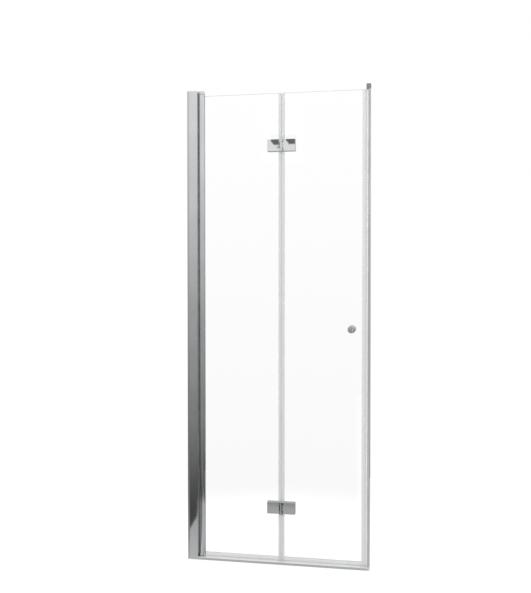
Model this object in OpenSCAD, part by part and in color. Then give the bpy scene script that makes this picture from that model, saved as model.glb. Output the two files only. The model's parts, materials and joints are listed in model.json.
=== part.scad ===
// Bifold shower door for a recess: two clear glass leaves that fold inwards,
// a telescoping profile on the hinge wall and a magnetic strike on the other wall.
// X runs along the doorway, +Y into the shower, +Z up.
// The origin is on the floor, in the middle of the doorway and of the glass.

/* [Door] */
// Width between the two walls
door_w = 775; // [700:5:1000]
// Height of the wall profiles
door_h = 2000; // [1800:10:2200]
// Front-to-back depth of the wall profiles
frame_d = 40; // [38:1:56]
// Drop from the top of the profiles to the top of the glass
glass_drop = 20; // [18:1:50]
// Height of the glass above the floor
glass_rise = 24; // [24:1:40]
// Thickness of the glass
glass_t = 6; // [5:0.5:8]
// Distance from the pivot axis to the fold axis
leaf_w = 344.5; // [280:0.5:400]

/* [Wall profiles] */
// Wall thickness of the extrusions
ext_t = 1.8; // [1.4:0.1:2.4]
// Sliding gap between the channel and the profile over it
slide_gap = 0.3; // [0.2:0.1:0.6]
// Part of the wall channel that shows beside the wall
channel_show = 9; // [2:1:20]
// Width of the adjusting profile's flat face
face_w = 33; // [28:1:50]
// Room between the channel's flanges and the profile's closed side
channel_room = 6; // [6:0.5:10]
// Diameter of the holes for the wall screws
wall_hole_d = 6; // [4:0.5:8]
// Distance of the end wall screws from the profile's ends
wall_hole_inset = 150; // [100:10:300]
// Width of the strike profile on the latch wall
strike_w = 9; // [9:0.5:20]
// Width of the strike profile's top cap
cap_w = 18; // [14:1:30]

/* [Pivot] */
// Open groove between the profile's face and the pivot post
groove_w = 5; // [5:0.5:16]
// Reach of the adjusting profile's noses over the groove
nose = 3; // [1:0.5:4]
// Diameter of the pivot post
post_d = 25; // [24:0.5:30]
// Reach of the glazing jaws past the post's round
jaw_out = 0.5; // [0.5:0.5:6]
// Diameter of the pivot pins
pin_d = 6; // [4:0.5:6.5]
// Wall of the nylon bushes
bush_t = 1.5; // [1:0.1:1.6]
// Length of the bushes inside the post
bush_len = 18; // [10:1:40]
// Flange thickness of the bushes
flange_t = 1.2; // [0.8:0.1:3]
// Radius of the pivot brackets round the post's axis
bracket_r = 14; // [13:0.5:24]
// Width of the brackets' bridge across the groove
bridge_w = 12; // [9:0.5:24]
// Height of the top bracket
top_bracket_h = 13; // [10:0.5:16]
// Height of the bottom bracket
low_bracket_h = 22; // [15:0.5:22]
// Length of the bracket's tongue inside the profile
tongue_len = 22; // [12:1:26]
// Thrust gap between a bush and its bracket
thrust_gap = 0.4; // [0.3:0.1:0.4]
// Thickness of the rubber between glass and post
gasket_t = 1; // [0.6:0.1:1.4]

/* [Seals] */
// Half width of the fold seal, from the fold axis
fold_seal_half = 12.2; // [9:0.1:20]
// Distance from the fold axis to each glass edge
glass_gap_half = 4; // [3:0.1:6]
// Thickness of the soft seal walls
seal_t = 1.6; // [1:0.1:2]
// Height that the drip seals grip the glass
drip_grip = 5; // [4:0.5:15]
// Running gap between two seals or a seal and the threshold
seal_gap = 0.4; // [0.3:0.1:0.8]
// Width of the leaf's edge profile with its magnetic seal
edge_w = 24.5; // [21:0.5:32]
// Depth that the glass sits in the edge profile
edge_grip = 14; // [8:0.5:14]
// Thickness of the edge seal's magnetic head
head_t = 5; // [4:0.5:6]
// Width of the magnetic seals' heads
head_w = 12; // [10:0.5:14]
// Width of the magnets
magnet_w = 8; // [5:0.5:8]
// Thickness of the magnets
magnet_t = 2; // [1:0.1:2.2]
// Gap between the two magnetic seals when the door is shut
latch_gap = 1; // [0.9:0.1:2]

/* [Threshold] */
// Height of the threshold's crest
sill_h = 14; // [10:0.5:16]
// Height of the threshold's front face
sill_front_h = 10.5; // [6:0.5:13]
// Height of the threshold's back edge
sill_back_h = 5; // [4:0.5:9]
// Wall thickness of the threshold
sill_t = 1.6; // [1.2:0.1:2.4]
// Width of the threshold's flat crest
crest_w = 10; // [6:0.5:14]
// Length of the end block on the latch side
sill_end_len = 30; // [25:1:60]

/* [Hinges] */
// Width of a hinge plate
plate_w = 50.5; // [40:0.5:70]
// Height of a hinge plate
plate_h = 50; // [44:1:90]
// Thickness of the outer hinge plates
outer_t = 8; // [7:0.5:10]
// Thickness of the inner hinge plates
inner_t = 6; // [4:0.5:10]
// Distance from the fold axis to the plates' near edges
knuckle_zone = 8.75; // [8:0.25:12]
// Radius of the hinge knuckles
knuckle_r = 6.5; // [5:0.25:6.75]
// Height of the middle knuckle
knuckle_mid = 24; // [16:1:30]
// Diameter of the hinge pins
hinge_pin_d = 6; // [4:0.5:7]
// Distance of the hinges from the floor and from the top
hinge_inset = 238; // [150:1:400]
// Thickness of the pads between plates and glass
pad_t = 1; // [0.6:0.1:2]
// Diameter of the holes in the glass
glass_hole_d = 14; // [12:0.5:18]
// Distance between the two screws of a hinge plate
screw_pitch = 26; // [22:1:30]
// Diameter of the hinge screws
screw_d = 5; // [4:0.5:6]
// Bevel round the plates' visible faces
bevel = 0.6; // [0.3:0.1:1]

/* [Knob] */
// Diameter of the knobs
knob_d = 32; // [26:1:45]
// Reach of a knob from its washer
knob_len = 24; // [18:1:32]
// Diameter of the knobs' necks
neck_d = 20; // [16:1:22]
// Length of the knobs' necks
neck_len = 5; // [3:0.5:8]
// Height of the knobs above the floor
knob_z = 996.5; // [800:0.5:1200]
// Distance from the knobs' axis to the shut edge of the door
knob_inset = 66; // [55:1:90]
// Diameter of the threaded stud
stud_d = 6; // [4:0.5:8]

/* [Hidden] */
$fn = 48;

tiny = 0.01;             // overlap that joins two solids of one piece
cut = 1;                 // how far a cutting solid runs past what it cuts
press = 0.02;            // radial clearance of a pressed pin
run = 0.06;              // radial clearance of a turning pin
loose = 0.3;             // clearance of a piece that slips into another

// Colours
chrome_c = "silver";
satin_c = "darkgray";
glass_c = [0.75, 0.85, 0.88, 0.35];
seal_c = "gainsboro";
rubber_c = "dimgray";
magnet_c = "saddlebrown";

// Stations along X
wall_l = -door_w / 2;
wall_r = door_w / 2;
half_d = frame_d / 2;
face_x0 = wall_l + channel_show;
face_x1 = face_x0 + face_w;
side_x = face_x1 - ext_t;                     // inner face of the profile's closed side
channel_x1 = side_x - channel_room;
channel_half = half_d - ext_t - slide_gap;
post_r = post_d / 2;
nose_x = face_x1 + nose;                        // free edge of the profile's noses
pivot_x = face_x1 + groove_w + post_r;
fold_x = pivot_x + leaf_w;
strike_x = wall_r - strike_w;
edge_x1 = strike_x - latch_gap;
edge_x0 = edge_x1 - edge_w;
knob_x = edge_x1 - knob_inset;

// Stations along Z
glass_top = door_h - glass_drop;
post_z0 = low_bracket_h + thrust_gap + flange_t;
post_z1 = door_h - top_bracket_h - thrust_gap - flange_t;
seal_z0 = sill_h + seal_gap;
cap_z0 = glass_top + latch_gap;
hinge_zs = [hinge_inset, door_h - hinge_inset];

// Wall profiles
wall_hole_n = 4;
wall_hole_pitch = (door_h - 2 * wall_hole_inset) / (wall_hole_n - 1);
clamp_n = 3;
clamp_inset = 250;
clamp_pitch = (door_h - 2 * clamp_inset) / (clamp_n - 1);
clamp_x = (face_x0 + channel_x1) / 2;
clamp_r = 2;
clamp_len = 8;
clamp_head_r = 3.5;
clamp_head_h = 1.8;
clamp_cap_r = 5.5;
clamp_cap_t = 0.9;
lip_t = 1.1;             // walls of the slot that holds the pivot seal
lip_reach = 3;
lip_hook = 0.9;
foot_half = 2.8;         // half width of a seal's foot in its slot
pad_half = 9;            // half width of the pivot seal's pad

// Pivot
pin_r = pin_d / 2;
bush_r = pin_r + run + bush_t;
port_t = 1;              // wall of the post's screw port
slot_x = bush_r + port_t;
slot_half = glass_t / 2 + gasket_t;
jaw_t = 3.5;
jaw_half = slot_half + jaw_t;
jaw_x = post_r + jaw_out;
spoke_t = 1.6;
glass_y = glass_t / 2;
left_x0 = pivot_x + slot_x + gasket_t;        // hinge-side edge of the left glass
tongue_half = channel_half - ext_t - loose;
bridge_half = bridge_w / 2;
flange_step = 0.5;       // how far a bush's flange stays inside the post's round
pin_hold = 9;           // length of a pivot pin inside its bracket
bracket_screw_x = side_x - channel_room / 2;
bracket_screw_r = 2;
bracket_screw_len = 12;

// Hinges
axis_y = -(glass_t / 2 + pad_t + outer_t + bevel);
knuckle_gap = 0.4;
pad_r = glass_hole_d / 2 - 0.2;   // sleeves round the screws in the glass
sleeve_len = glass_t - 0.2;
thread_stop = 2.5;       // metal left in front of a screw's blind hole
screw_head_r = screw_d;
pin_short = 0.4;         // how far a hinge pin stops short of the knuckles' ends
plate_mid = knuckle_zone + plate_w / 2;

// Threshold
sill_y1 = half_d - 2;    // back edge, on the shower side
sill_foot = 7;           // width of the feet that are bonded to the floor

// Latch edge
edge_wall = 1.6;
liner_t = 1.2;
edge_half = glass_y + liner_t + edge_wall;
edge_seal_x = edge_x1 - head_t;
head_half = head_w / 2;
strike_head = 3.6;       // thickness of the strike seal's head
foot_slack = 0.1;
rib_t = 1.4;
strike_hole_y = (half_d - ext_t + foot_half + foot_slack + rib_t) / 2;

// Box between two corners
module bar(x0, x1, y0, y1, z0, z1) {
    translate([x0, y0, z0]) cube([x1 - x0, y1 - y0, z1 - z0]);
}

// Outline in Y and Z, drawn out along X
module along_x(x0, x1) {
    translate([x0, 0, 0]) rotate([90, 0, 90]) linear_extrude(x1 - x0) children();
}

// Outline in X and Y, drawn out along Z
module along_z(z0, z1) {
    translate([0, 0, z0]) linear_extrude(z1 - z0) children();
}

// Outline whose other half mirrors these points across the X axis
function both(half) = concat(half, [for (i = [len(half) - 1 : -1 : 0]) [half[i][0], -half[i][1]]]);

// Rectangle between two corners
module rect(x0, x1, y0, y1) {
    translate([x0, y0]) square([x1 - x0, y1 - y0]);
}

// Round bar or hole along X, Y or Z, from its start point
module rod_x(x, y, z, r, len) {
    translate([x, y, z]) rotate([0, 90, 0]) cylinder(r = r, h = len);
}

module rod_y(x, y, z, r, len) {
    translate([x, y, z]) rotate([-90, 0, 0]) cylinder(r = r, h = len);
}

module rod_z(x, y, z, r, len) {
    translate([x, y, z]) cylinder(r = r, h = len);
}

// Cross recess cut into a screw head whose face looks to +Y
module cross_recess(x, y, z, size, deep) {
    arm = size / 4;
    bar(x - size / 2, x + size / 2, y - deep, y + cut, z - arm / 2, z + arm / 2);
    bar(x - arm / 2, x + arm / 2, y - deep, y + cut, z - size / 2, z + size / 2);
}

// Pan-head screw that points to -Y, with its head's seat at y
module pan_screw(x, y, z, r, len, head_r, head_h) {
    difference() {
        union() {
            rod_y(x, y - len, z, r - press, len + tiny);
            rod_y(x, y, z, head_r, head_h);
        }
        cross_recess(x, y + head_h, z, head_r, head_h / 2);
    }
}

// Positions of the wall screws and of the clamp screws
function wall_hole_z(i) = wall_hole_inset + i * wall_hole_pitch;
function clamp_z(i) = clamp_inset + i * clamp_pitch;

// ---- Wall side ----

module wall_channel() {
    color(satin_c)
    difference() {
        along_z(0, door_h)
            polygon(both([
                [wall_l + ext_t, channel_half - ext_t], [channel_x1, channel_half - ext_t],
                [channel_x1, channel_half], [wall_l, channel_half]]));
        for (i = [0 : wall_hole_n - 1])
            rod_x(wall_l - cut, 0, wall_hole_z(i), wall_hole_d / 2, ext_t + 2 * cut);
        for (i = [0 : clamp_n - 1])
            rod_y(clamp_x, 0, clamp_z(i), clamp_r, half_d);
    }
}

// Slot that passes a bracket's bridge through the closed side
module bracket_notch(z0, z1) {
    half = bridge_half + loose;
    bar(side_x - tiny, face_x1 + lip_reach + cut, -half, half, z0, z1);
}

module adjusting_profile() {
    web_in = half_d - ext_t;
    slot_in = foot_half + foot_slack;
    lip_x = face_x1 + lip_reach;
    color(chrome_c)
    difference() {
        along_z(0, door_h)
            polygon(both([
                [side_x, web_in], [face_x0, web_in], [face_x0, half_d], [nose_x, half_d],
                [nose_x, web_in], [face_x1, web_in], [face_x1, slot_in + lip_t],
                [lip_x, slot_in + lip_t],
                [lip_x, slot_in - lip_hook], [lip_x - lip_t, slot_in - lip_hook],
                [lip_x - lip_t, slot_in], [face_x1, slot_in]]));
        bracket_notch(-cut, low_bracket_h + loose);
        bracket_notch(door_h - top_bracket_h - loose, door_h + cut);
        for (i = [0 : clamp_n - 1])
            rod_y(clamp_x, half_d - ext_t - tiny, clamp_z(i), clamp_r, ext_t + cut);
        for (z = [low_bracket_h / 2, door_h - top_bracket_h / 2])
            rod_y(bracket_screw_x, half_d - ext_t - tiny, z, bracket_screw_r, ext_t + cut);
    }
}

module clamp_screws() {
    color(satin_c)
    for (i = [0 : clamp_n - 1])
        pan_screw(clamp_x, half_d, clamp_z(i), clamp_r, clamp_len, clamp_head_r, clamp_head_h);
}

module clamp_caps() {
    color("white")
    for (i = [0 : clamp_n - 1])
        difference() {
            rod_y(clamp_x, half_d, clamp_z(i), clamp_cap_r, clamp_head_h + loose + clamp_cap_t);
            rod_y(clamp_x, half_d - cut, clamp_z(i), clamp_cap_r - clamp_cap_t,
                  clamp_head_h + loose + cut);
        }
}

// Rubber seal in the profile's slot, hollowed to run round the post
module pivot_seal() {
    neck = foot_half - lip_hook;
    color(rubber_c)
    along_z(low_bracket_h + loose, door_h - top_bracket_h - loose)
        difference() {
            union() {
                rect(face_x1, face_x1 + lip_reach - lip_t - foot_slack, -foot_half, foot_half);
                rect(face_x1, face_x1 + lip_reach + loose, -neck, neck);
                rect(face_x1 + lip_reach + foot_slack, face_x1 + groove_w + loose,
                     -pad_half, pad_half);
            }
            translate([pivot_x, 0]) circle(r = post_r + loose);
        }
}

// ---- Pivot ----

// Round under or over the post, flat where it would reach the profile, with a bridge to the tongue
module bracket(z0, z1) {
    tongue_x0 = face_x1 - tongue_len;
    nose_in = half_d - ext_t - loose;
    along_z(z0, z1) {
        intersection() {
            translate([pivot_x, 0]) circle(r = bracket_r);
            union() {
                rect(nose_x + loose, pivot_x + bracket_r, -bracket_r, bracket_r);
                rect(face_x1 + loose, pivot_x, -nose_in, nose_in);
            }
        }
        rect(tongue_x0, pivot_x, -bridge_half, bridge_half);
        rect(tongue_x0, side_x - loose, -tongue_half, tongue_half);
    }
}

module top_bracket() {
    z0 = door_h - top_bracket_h;
    color(chrome_c)
    difference() {
        bracket(z0, door_h);
        rod_z(pivot_x, 0, z0 - cut, pin_r + press, pin_hold + cut);
        rod_y(bracket_screw_x, half_d - ext_t - bracket_screw_len, (z0 + door_h) / 2,
              bracket_screw_r, bracket_screw_len);
    }
}

module bottom_bracket() {
    color(chrome_c)
    difference() {
        bracket(0, low_bracket_h);
        rod_z(pivot_x, 0, low_bracket_h - pin_hold, pin_r + press, pin_hold + cut);
        rod_y(bracket_screw_x, half_d - ext_t - bracket_screw_len, low_bracket_h / 2,
              bracket_screw_r, bracket_screw_len);
    }
}

module bracket_screws() {
    color(satin_c)
    for (z = [low_bracket_h / 2, door_h - top_bracket_h / 2])
        pan_screw(bracket_screw_x, half_d, z, bracket_screw_r, bracket_screw_len - cut,
                  clamp_head_r, clamp_head_h);
}

module pivot_pin(z0, z1) {
    color(satin_c) rod_z(pivot_x, 0, z0, pin_r, z1 - z0);
}

module top_pin() {
    pivot_pin(post_z1 - bush_len, door_h - top_bracket_h + pin_hold);
}

module bottom_pin() {
    pivot_pin(low_bracket_h - pin_hold, post_z0 + bush_len);
}

// Flanged bush with its flange on the side of z_flange that s points to
module bush(z_flange, s) {
    color("white")
    translate([pivot_x, 0, z_flange]) mirror([0, 0, s > 0 ? 0 : 1])
        difference() {
            union() {
                cylinder(r = post_r - flange_step, h = flange_t);
                translate([0, 0, -bush_len]) cylinder(r = bush_r - press, h = bush_len + tiny);
            }
            translate([0, 0, -bush_len - cut])
                cylinder(r = pin_r + run, h = bush_len + flange_t + 2 * cut);
        }
}

module top_bush() {
    bush(post_z1, 1);
}

module bottom_bush() {
    bush(post_z0, -1);
}

// Hollow round extrusion with a central port and two jaws for the glass
module pivot_post() {
    color(chrome_c)
    translate([pivot_x, 0, 0])
    along_z(post_z0, post_z1)
        difference() {
            union() {
                difference() {
                    circle(r = post_r);
                    circle(r = post_r - ext_t);
                }
                circle(r = bush_r + port_t);
                rect(0, jaw_x, -jaw_half, jaw_half);
                for (a = [120, 240])
                    rotate(a) rect(bush_r, post_r - ext_t / 2, -spoke_t / 2, spoke_t / 2);
            }
            circle(r = bush_r);
            rect(slot_x, jaw_x + cut, -slot_half, slot_half);
        }
}

module post_gasket() {
    color(rubber_c)
    translate([pivot_x, 0, 0])
    along_z(glass_rise, glass_top)
        difference() {
            rect(slot_x, jaw_x, -slot_half, slot_half);
            rect(slot_x + gasket_t, jaw_x + cut, -glass_y, glass_y);
        }
}

// ---- Threshold ----

// Sloping top of the threshold in Y and Z, lowered and drawn in by t
function sill_top(t) = [
    [t - half_d, sill_front_h - t],
    [-crest_w / 2, sill_h - t],
    [crest_w / 2, sill_h - t],
    [sill_y1 - t, sill_back_h - t]];

module threshold() {
    clear_r = bracket_r + loose;
    top_in = sill_top(sill_t);
    color(chrome_c)
    difference() {
        along_x(nose_x + loose, wall_r - sill_end_len)
            polygon(concat(
                [[-half_d, 0]], sill_top(0), [[sill_y1, 0], [sill_y1 - sill_foot, 0],
                 [sill_y1 - sill_foot, sill_t], [sill_y1 - sill_t, sill_t]],
                [for (i = [len(top_in) - 1 : -1 : 0]) top_in[i]],
                [[sill_t - half_d, sill_t], [sill_foot - half_d, sill_t], [sill_foot - half_d, 0]]));
        bar(face_x1, pivot_x + clear_r, -clear_r, half_d, -cut, sill_h + cut);
    }
}

// End block: the threshold's slope runs on over it, and the strike profile stands on its level end
module threshold_end() {
    tongue = 15;
    x0 = wall_r - sill_end_len;
    color(chrome_c)
    union() {
        along_x(x0, strike_x + tiny)
            polygon(concat([[-half_d, 0]], sill_top(0), [[sill_y1, 0]]));
        bar(strike_x, wall_r, -half_d, half_d, 0, sill_h);
        bar(x0 - tongue, x0 + tiny, -crest_w / 2, crest_w / 2, sill_t + loose, sill_h - sill_t - loose);
    }
}

// ---- Latch wall ----

module strike_profile() {
    base_x = wall_r - ext_t;
    rib_x = strike_x + strike_head + foot_slack;
    rib_y = foot_half + foot_slack;
    web_in = half_d - ext_t;
    color(chrome_c)
    difference() {
        along_z(sill_h, cap_z0)
            polygon(both([
                [base_x, rib_y], [rib_x, rib_y], [rib_x, rib_y + rib_t], [base_x, rib_y + rib_t],
                [base_x, web_in], [strike_x, web_in], [strike_x, half_d], [wall_r, half_d]]));
        for (i = [0 : wall_hole_n - 1])
            rod_x(base_x - cut, strike_hole_y, wall_hole_z(i), wall_hole_d / 2, ext_t + 2 * cut);
    }
}

// Magnetic seal: a foot and a head that holds the magnet, drawn from the head's face
module magnet_seal(face_x, dir, head, foot, z0, z1) {
    translate([face_x, 0, 0]) mirror([dir > 0 ? 0 : 1, 0, 0])
    along_z(z0, z1)
        difference() {
            union() {
                rect(0, head, -head_half, head_half);
                rect(head - tiny, head + foot, -foot_half, foot_half);
            }
            rect((head - magnet_t) / 2, (head + magnet_t) / 2, -magnet_w / 2, magnet_w / 2);
        }
}

module strike_seal() {
    foot = strike_w - strike_head - ext_t - foot_slack;
    color(seal_c) magnet_seal(strike_x, 1, strike_head, foot, seal_z0, glass_top);
}

module magnet_strip(face_x, dir, head, z0, z1) {
    x = face_x + dir * head / 2;
    color(magnet_c)
    bar(x - magnet_t / 2, x + magnet_t / 2, -magnet_w / 2, magnet_w / 2, z0, z1);
}

module strike_magnet() {
    magnet_strip(strike_x, 1, strike_head, seal_z0, glass_top);
}

module strike_cap() {
    plug_y0 = foot_half + rib_t + 2 * loose;
    plug_h = 12;
    color(satin_c)
    union() {
        bar(wall_r - cap_w, wall_r, -half_d, half_d, cap_z0, door_h);
        for (s = [0, 1]) mirror([0, s, 0])
            bar(strike_x + strike_head, wall_r - ext_t - loose, plug_y0, half_d - ext_t - loose,
                cap_z0 - plug_h, cap_z0 + tiny);
    }
}

// ---- Leaves ----

// Screw places of the hinge plates on side s of the fold
function screw_x(s) = fold_x + s * plate_mid;
screw_zs = [for (z = hinge_zs) for (k = [-1, 1]) z + k * screw_pitch / 2];

module hinge_holes(s) {
    for (z = screw_zs)
        rod_y(screw_x(s), -glass_y - cut, z, glass_hole_d / 2, glass_t + 2 * cut);
}

module left_glass() {
    color(glass_c)
    difference() {
        bar(left_x0, fold_x - glass_gap_half, -glass_y, glass_y, glass_rise, glass_top);
        hinge_holes(-1);
    }
}

module right_glass() {
    color(glass_c)
    difference() {
        bar(fold_x + glass_gap_half, edge_x0 + edge_grip, -glass_y, glass_y, glass_rise, glass_top);
        hinge_holes(1);
        rod_y(knob_x, -glass_y - cut, knob_z, glass_hole_d / 2, glass_t + 2 * cut);
    }
}

// Drip seal: legs on the glass, a front skirt and a slanted fin behind
module drip_outline() {
    leg = glass_y + seal_t;
    web = glass_rise - seal_t;
    top = glass_rise + drip_grip;
    fin_y = leg + 5;
    fin_z = seal_z0 + seal_gap;
    polygon([
        [-leg, seal_z0], [-leg, top], [-glass_y, top], [-glass_y, glass_rise],
        [glass_y, glass_rise], [glass_y, top], [leg, top], [leg, web],
        [fin_y, fin_z], [fin_y - 1, fin_z], [0, web], [seal_t - leg, web], [seal_t - leg, seal_z0]]);
}

module left_drip_seal() {
    color(seal_c)
    along_x(pivot_x + max(bracket_r, jaw_x) + loose + tiny, fold_x - fold_seal_half - loose)
        drip_outline();
}

module right_drip_seal() {
    color(seal_c) along_x(fold_x + fold_seal_half + loose, edge_x0 - loose) drip_outline();
}

// Fold seal on side s: legs on the glass edge and two lips towards the other leaf
module fold_seal(s) {
    leg = glass_y + seal_t;
    lip = seal_t / 2;
    web_x = glass_gap_half - lip;
    color(seal_c)
    translate([fold_x, 0, 0]) mirror([s > 0 ? 0 : 1, 0, 0])
    difference() {
        along_z(seal_z0, glass_top)
            polygon(both([
                [glass_gap_half, glass_y], [fold_seal_half, glass_y],
                [fold_seal_half, glass_y + lip / 2], [fold_seal_half - seal_t, leg],
                [seal_gap, leg], [seal_gap, leg - lip], [web_x, leg - seal_t]]));
        for (z = hinge_zs)
            bar(knuckle_zone - loose, fold_seal_half + cut, -leg - cut, leg + cut,
                z - plate_h / 2 - loose, z + plate_h / 2 + loose);
    }
}

module left_fold_seal() {
    fold_seal(-1);
}

module right_fold_seal() {
    fold_seal(1);
}

// ---- Hinges ----

// Plate with a bevel round its visible face, from the pad's face at y = 0 out to y = -t
module plate_blank(x0, x1, z0, z1, t) {
    intersection() {
        along_z(z0, z1)
            polygon([[x0, 0], [x0, bevel - t], [x0 + bevel, -t], [x1 - bevel, -t],
                     [x1, bevel - t], [x1, 0]]);
        along_x(x0, x1)
            polygon([[0, z0], [bevel - t, z0], [-t, z0 + bevel], [-t, z1 - bevel],
                     [bevel - t, z1], [0, z1]]);
    }
}

// Z ranges of the knuckles on side s, from the hinge's middle
function knuckles(s) = s > 0
    ? [[-knuckle_mid / 2, knuckle_mid / 2]]
    : [for (k = [-1, 1]) let (a = k * plate_h / 2, b = k * (knuckle_mid / 2 + knuckle_gap))
        [min(a, b), max(a, b)]];

// Outer plate with its knuckles; side s = -1 for the left leaf and 1 for the right
module outer_plate(s, hinge_z) {
    pad_face = -(glass_y + pad_t);
    bore_r = hinge_pin_d / 2 + (s > 0 ? run : press);
    color(chrome_c)
    translate([fold_x, 0, hinge_z]) mirror([s > 0 ? 0 : 1, 0, 0])
    difference() {
        union() {
            translate([0, pad_face, 0])
                plate_blank(knuckle_zone, knuckle_zone + plate_w, -plate_h / 2, plate_h / 2, outer_t);
            for (k = knuckles(s)) {
                rod_z(0, axis_y, k[0], knuckle_r, k[1] - k[0]);
                bar(0, knuckle_zone + 2 * bevel, axis_y + 2 * bevel, axis_y + knuckle_r - tiny, k[0], k[1]);
            }
        }
        rod_z(0, axis_y, -plate_h, bore_r, 2 * plate_h);
        for (k = [-1, 1])
            rod_y(plate_mid, pad_face - outer_t + thread_stop, k * screw_pitch / 2, screw_d / 2, outer_t);
    }
}

// Inner plate, countersunk for the screws
module inner_plate(s, hinge_z) {
    pad_face = glass_y + pad_t;
    head_h = screw_head_r - screw_d / 2;
    color(chrome_c)
    translate([fold_x, 0, hinge_z]) mirror([s > 0 ? 0 : 1, 0, 0])
    difference() {
        translate([0, pad_face, 0]) mirror([0, 1, 0])
            plate_blank(knuckle_zone, knuckle_zone + plate_w, -plate_h / 2, plate_h / 2, inner_t);
        for (k = [-1, 1]) translate([plate_mid, 0, k * screw_pitch / 2]) {
            rod_y(0, pad_face - cut, 0, screw_d / 2 + press, inner_t + 2 * cut);
            translate([0, pad_face + inner_t - head_h, 0]) rotate([-90, 0, 0])
                cylinder(r1 = screw_d / 2 + press, r2 = screw_head_r + press, h = head_h + tiny);
        }
    }
}

module upper_outer_plate_left() {
    outer_plate(-1, hinge_zs[1]);
}

module upper_inner_plate_left() {
    inner_plate(-1, hinge_zs[1]);
}

module lower_outer_plate_left() {
    outer_plate(-1, hinge_zs[0]);
}

module lower_inner_plate_left() {
    inner_plate(-1, hinge_zs[0]);
}

module upper_outer_plate_right() {
    outer_plate(1, hinge_zs[1]);
}

module upper_inner_plate_right() {
    inner_plate(1, hinge_zs[1]);
}

module lower_outer_plate_right() {
    outer_plate(1, hinge_zs[0]);
}

module lower_inner_plate_right() {
    inner_plate(1, hinge_zs[0]);
}

// Pads on both faces of the glass; the front ones carry sleeves through its holes
module hinge_pads(s) {
    margin = bevel;
    x0 = knuckle_zone + margin;
    x1 = knuckle_zone + plate_w - margin;
    color(rubber_c)
    for (z = hinge_zs) translate([fold_x, 0, z]) mirror([s > 0 ? 0 : 1, 0, 0])
        for (front = [true, false])
            difference() {
                union() {
                    y0 = front ? -glass_y - pad_t : glass_y;
                    hz = plate_h / 2 - margin;
                    bar(x0, x1, y0, y0 + pad_t, -hz, hz);
                    if (front) for (k = [-1, 1])
                        rod_y(plate_mid, -glass_y - tiny, k * screw_pitch / 2, pad_r, sleeve_len);
                }
                for (k = [-1, 1])
                    rod_y(plate_mid, -glass_y - pad_t - cut, k * screw_pitch / 2,
                          screw_d / 2 + press, glass_t + 2 * (pad_t + cut));
            }
}

module hinge_pads_left() {
    hinge_pads(-1);
}

module hinge_pads_right() {
    hinge_pads(1);
}

// Countersunk screws from the inner plates into the outer plates' blind holes
module hinge_screws(s) {
    y1 = glass_y + pad_t + inner_t;
    y0 = -(glass_y + pad_t + outer_t) + thread_stop + cut;
    head_h = screw_head_r - screw_d / 2;
    recess = 1.5;
    color(satin_c)
    for (z = screw_zs)
        difference() {
            union() {
                rod_y(screw_x(s), y0, z, screw_d / 2 - press, y1 - y0);
                translate([screw_x(s), y1 - head_h, z]) rotate([-90, 0, 0])
                    cylinder(r1 = screw_d / 2 - press, r2 = screw_head_r - press, h = head_h);
            }
            cross_recess(screw_x(s), y1, z, screw_d, recess);
        }
}

module hinge_screws_left() {
    hinge_screws(-1);
}

module hinge_screws_right() {
    hinge_screws(1);
}

module hinge_pin(hinge_z) {
    color(satin_c)
    rod_z(fold_x, axis_y, hinge_z - plate_h / 2 + pin_short, hinge_pin_d / 2, plate_h - 2 * pin_short);
}

module upper_hinge_pin() {
    hinge_pin(hinge_zs[1]);
}

module lower_hinge_pin() {
    hinge_pin(hinge_zs[0]);
}

// ---- Latch edge of the right leaf ----

module edge_profile() {
    slot_y = glass_y + liner_t;
    slot_end = edge_x0 + edge_grip + liner_t;
    color(seal_c)
    along_z(seal_z0, glass_top)
        difference() {
            rect(edge_x0, edge_seal_x, -edge_half, edge_half);
            rect(edge_x0 - cut, slot_end, -slot_y, slot_y);
            rect(slot_end + edge_wall, edge_seal_x + cut, -foot_half - foot_slack, foot_half + foot_slack);
        }
}

module edge_liner() {
    slot_y = glass_y + liner_t;
    color(rubber_c)
    along_z(glass_rise, glass_top)
        difference() {
            rect(edge_x0, edge_x0 + edge_grip + liner_t, -slot_y, slot_y);
            rect(edge_x0 - cut, edge_x0 + edge_grip, -glass_y, glass_y);
        }
}

module edge_seal() {
    foot = edge_seal_x - (edge_x0 + edge_grip + liner_t + edge_wall) - foot_slack;
    color(seal_c) magnet_seal(edge_x1, -1, head_t, foot, seal_z0, glass_top);
}

module edge_magnet() {
    magnet_strip(edge_x1, -1, head_t, seal_z0, glass_top);
}

// ---- Knobs ----

// Turned knob on the outer face for s = -1 and the inner face for s = 1
module knob(s) {
    round = 2;
    seat = glass_y + pad_t;
    head_r = knob_d / 2;
    bore = knob_len - 2 * neck_len;
    color(chrome_c)
    translate([knob_x, s * seat, knob_z]) rotate([-90 * s, 0, 0])
        difference() {
            rotate_extrude()
                polygon(concat(
                    [[0, 0], [neck_d / 2, 0], [neck_d / 2, neck_len], [head_r - 1, neck_len],
                     [head_r, neck_len + 1]],
                    [for (a = [0 : 15 : 90])
                        [head_r - round + round * cos(a), knob_len - round + round * sin(a)]],
                    [[0, knob_len]]));
            translate([0, 0, -cut]) cylinder(r = stud_d / 2 + press, h = bore + cut);
        }
}

module outer_knob() {
    knob(-1);
}

module inner_knob() {
    knob(1);
}

module knob_stud() {
    reach = glass_y + pad_t + knob_len - 2 * neck_len - cut;
    color(satin_c) rod_y(knob_x, -reach, knob_z, stud_d / 2, 2 * reach);
}

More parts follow.
